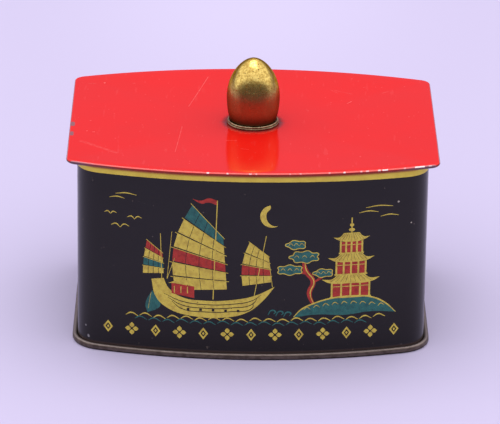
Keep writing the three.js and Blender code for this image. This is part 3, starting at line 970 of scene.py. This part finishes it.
# The island. A low hill with a tiered tower, whose red walls stand between gold posts under upturned roofs,
# and one old pine beside it.
hill = [(14, 15), (16.6, 17.8), (20.6, 19.8), (26, 21.4), (33, 22), (40, 21.2), (44.6, 18.8), (48.4, 15)]
hill_foot = [(40, 15.9), (31, 15.2), (22, 15.8)]
teal_ink.plate(hill + hill_foot, corners=(0, 7))
gold_ink.line(hill, 0.5)
tuft = [(-0.8, 0), (0, 0.9), (1.3, 0.2)]
for place in range(9):
    root_x = 18.4 + 3.1 * place
    gold_ink.line(moved(tuft, root_x, 16.6 + 2.6 * sin(pi * (root_x - 14) / 34)), 0.3)

tower_x = 33
tower_z = 21.7
roof_height = 3.2
ridge_share = 0.72
for wall_width, wall_height, eave_width in ((12.6, 5, 19.5), (9.8, 4.5, 15.6), (7.2, 4.1, 12.2)):
    eave_z = tower_z + wall_height
    half, eave = wall_width / 2, eave_width / 2
    walls = [(-half, 0), (half, 0), (half, wall_height), (-half, wall_height)]
    red_ink.patch(moved(walls, tower_x, tower_z))
    for post in range(5):
        post_x = tower_x - half + wall_width * post / 4
        gold_ink.line([(post_x, tower_z), (post_x, eave_z + 0.3)], 0.6, thin_ends=1)
    for rail_half, rail_z, width in ((half + 0.6, tower_z, 0.5), (half, eave_z - 1.1, 0.25)):
        gold_ink.line(moved([(-rail_half, 0), (rail_half, 0)], tower_x, rail_z), width, thin_ends=1)
    roof = [(-eave, 1.7), (2.4 - eave, 0.4), (0, 0), (eave - 2.4, 0.4), (eave, 1.7)]
    ridge_half = half * ridge_share
    roof += [(half * 0.84 + 0.9, 1.75), (ridge_half, roof_height), (-ridge_half, roof_height)]
    roof += [(-half * 0.84 - 0.9, 1.75)]
    gold_ink.plate(moved(roof, tower_x, eave_z), layer=3, corners=(0, 4, 6, 7))
    for tile in range(-4, 5):
        share = tile / 4.6
        tiles = [(ridge_half * share, roof_height - 0.3), (eave * 0.8 * share, 0.5 + 0.25 * abs(share))]
        black_ink.line(moved(tiles, tower_x, eave_z), 0.2, layer=4)
    tower_z = eave_z + roof_height
gold_ink.line([(tower_x, tower_z - 0.2), (tower_x, tower_z + 5.4)], 0.8, thin_ends=0.5)
for knop_z, knop_half in ((1.1, 1), (2.8, 0.7)):
    knop = [(-knop_half, 0), (0, 0.6), (knop_half, 0), (0, -0.6)]
    gold_ink.plate(moved(knop, tower_x, tower_z + knop_z), layer=3)

needles = [(-0.8, -0.3), (0, 0.5), (0.8, -0.3)]
trunk = [(20.6, 19.4), (19.2, 23.6), (20.4, 27.8), (17.8, 32), (17.2, 35.6)]
red_ink.line(trunk, 1.7, layer=1, thin_ends=0.6)
gold_ink.line(moved(trunk, 0.3, 0), 0.35)
for bough in ([(20.2, 27.2), (22.6, 28.8), (24, 29.6)], [(18.8, 30.4), (15.2, 31.4), (12.8, 31)]):
    red_ink.line(bough, 0.9, layer=1)
for pad_x, pad_z, half_width, half_height, lobes in (
    (12.6, 32.2, 4.6, 1.9, 6), (17.4, 36.8, 5.2, 2.3, 7), (23.8, 30.8, 3.6, 1.6, 5), (14.6, 41.2, 3.6, 1.7, 5)
):
    edge = []
    for turn in range(2 * lobes):
        swell = 1 if turn % 2 else 0.8
        angle = pi * turn / lobes
        edge.append((half_width * swell * cos(angle), half_height * swell * sin(angle)))
    edge = moved(edge, pad_x, pad_z)
    teal_ink.plate(edge, layer=2)
    gold_ink.line(edge + edge[:1], 0.3, layer=3, thin_ends=1)
    for share in (-0.5, 0, 0.5):
        gold_ink.line(moved(needles, pad_x + share * half_width, pad_z), 0.22, layer=3)


# The sky. A thin moon over the water, three birds, and a few drawn-out clouds. The moon is cut from two arcs
# that meet in its horns.
moon_x = 6.5
moon_z = 51.5
moon_radius = 4
rim_angles = [radians(100 + 200 * step / 8) for step in range(9)]
hollow_angles = [radians(285 - 190 * step / 6) for step in range(1, 6)]
moon = [(moon_radius * cos(angle), moon_radius * sin(angle)) for angle in rim_angles]
moon += [(1.5 + 3.5 * cos(angle), 3.6 * sin(angle)) for angle in hollow_angles]
gold_ink.plate(moved(moon, moon_x, moon_z), corners=(0, 8))
for bird_x, bird_z, span in ((-44, 45, 3), (-39.2, 48.4, 2.4), (-47.2, 49.6, 2)):
    for side in (-1, 1):
        wing = [(0, 0), (side * 0.45, 0.42), (side, 0.22)]
        gold_ink.line(moved(wing, bird_x, bird_z, span), 0.42)
clouds = ((42, 53.5, 4.5), (38.5, 51.8, 3.25), (45.5, 50.1, 3), (-42, 57, 3.5), (-45, 55.5, 2.5))
for cloud_x, cloud_z, half in clouds:
    gold_ink.line(moved([(-half, 0), (0, 0.5), (half, 0)], cloud_x, cloud_z))


# The border. A row of small gold ornaments along the foot, lozenges and four-petalled flowers in turn. With
# it the drawing is done, and the four inks are rolled on.
border_z = 8.7
border_step = 8
petal = [(0, 0.3), (0.8, 1.25), (0, 2.3), (-0.8, 1.25)]
flower = [[(c * x - s * z, s * x + c * z) for x, z in petal] for c, s in ((1, 0), (0, 1), (-1, 0), (0, -1))]
lozenge = [(0, 2.2), (1.6, 0), (0, -2.2), (-1.6, 0)]
for place in range(-6, 7):
    middle_x = border_step * place
    if place % 2:
        for turned in flower:
            gold_ink.plate(moved(turned, middle_x, border_z), corners=(0, 2))
    else:
        for ink, size, layer in ((gold_ink, 1, 1), (black_ink, 0.56, 2), (gold_ink, 0.26, 3)):
            ink.patch(moved(lozenge, middle_x, border_z, size), layer)

for ink in (gold_ink, teal_ink, red_ink, black_ink):
    ink.press()


# The floor, the light and the camera. A pale floor under a tent of light, which comes lower at the sides than
# before and behind the tin, and is dark where the camera stands. A broad lamp hangs overhead, and a long one
# stands low in front. Only mirrored rays see the floor end before the camera.
floor_size = 8
bright_place_y = 330
BACKDROP = colour(229, 218, 252)
FLOOR_PALE = colour(216, 207, 238)
FLOOR_DIM = colour(209, 200, 231)
floor = bpy.data.objects.new("floor", bpy.data.meshes.new("floor"))
bm = bmesh.new()
bmesh.ops.create_grid(bm, x_segments=1, y_segments=1, size=floor_size / 2)
bm.to_mesh(floor.data)
bm.free()
bpy.context.scene.collection.objects.link(floor)
finish = Finish("pale_floor", specular=0.1)
mirrored = finish.add("ShaderNodeLightPath", output="Is Glossy Ray")
far_front = finish.rise(finish.y, -220, -450) * mirrored
# The floor's own colour is painted paler round a place behind the tin and dimmer away from it: a painted pool
# of light.
painted_light_falloff = finish.rise(finish.distance(finish.x * 2, finish.y - bright_place_y), 20, 200)
floor_colour = finish.mix(painted_light_falloff, FLOOR_PALE, FLOOR_DIM)
finish.set("Base Color", finish.mix(far_front, floor_colour, colour(48, 44, 50)))
finish.set("Roughness", 0.7)
floor.data.materials.append(finish.material)

low_sky = (0.28, 0.255, 0.34, 1)
high_sky = (1.12, 1.1, 1.14, 1)
camera_side = (0.1, 0.09, 0.11, 1)
tent_lean = 0.7
studio = bpy.data.worlds.new("studio")
bpy.context.scene.world = studio
studio.use_nodes = True
sky = Wiring(studio.node_tree)
toward_y, toward_z = sky.split(sky.add("ShaderNodeTexCoord", output="Generated"))[1:]
under_tent = sky.mix(sky.rise(toward_y, -0.1, -0.4), low_sky, camera_side)
tent = sky.rise(toward_z - abs(toward_y) * tent_lean, -0.25, 0.3)
shaded = sky.mix(tent, under_tent, high_sky)
seen = sky.add("ShaderNodeLightPath", output="Is Camera Ray")
background = sky.nodes["Background"]
sky.feed(background.inputs["Color"], sky.mix(seen, shaded, BACKDROP))
background.inputs["Strength"].default_value = 1

lamps_aim = Vector((0, 0, 0.04))
for name, place, width, height, power, mirrored_too in (
    ("softbox", (0, 0.2, 1.4), 0.9, 0.9, 5.1, True),
    ("front_fill", (0, -1.22, 0.26), 1.2, 0.22, 5.2, False),
):
    lamp_data = bpy.data.lights.new(name, "AREA")
    lamp_data.shape = "RECTANGLE"
    lamp_data.size, lamp_data.size_y = width, height
    lamp_data.energy = power
    lamp = bpy.data.objects.new(name, lamp_data)
    lamp.location = place
    lamp.rotation_euler = (lamps_aim - lamp.location).to_track_quat("-Z", "Y").to_euler()
    lamp.visible_camera = False
    lamp.visible_glossy = mirrored_too
    bpy.context.scene.collection.objects.link(lamp)

camera_yaw = radians(0.46)
camera_elevation = radians(22.18)
camera_roll = radians(0.8)
camera_distance = 1336.7 * MM
camera_target = Vector((-0.555, 0, 33.93)) * MM
camera_lens = 280.3
camera_turn = Matrix.Rotation(-camera_yaw, 4, "Z") @ Matrix.Rotation(pi / 2 - camera_elevation, 4, "X")
camera_turn @= Matrix.Rotation(camera_roll, 4, "Z")
camera_data = bpy.data.cameras.new("camera")
camera_data.sensor_width = 36
camera_data.lens = camera_lens
camera = bpy.data.objects.new("camera", camera_data)
bpy.context.scene.collection.objects.link(camera)
camera_step_back = Matrix.Translation((0, 0, camera_distance))
camera.matrix_world = Matrix.Translation(camera_target) @ camera_turn @ camera_step_back
bpy.context.scene.camera = camera
bpy.context.scene.view_settings.view_transform = "Standard"
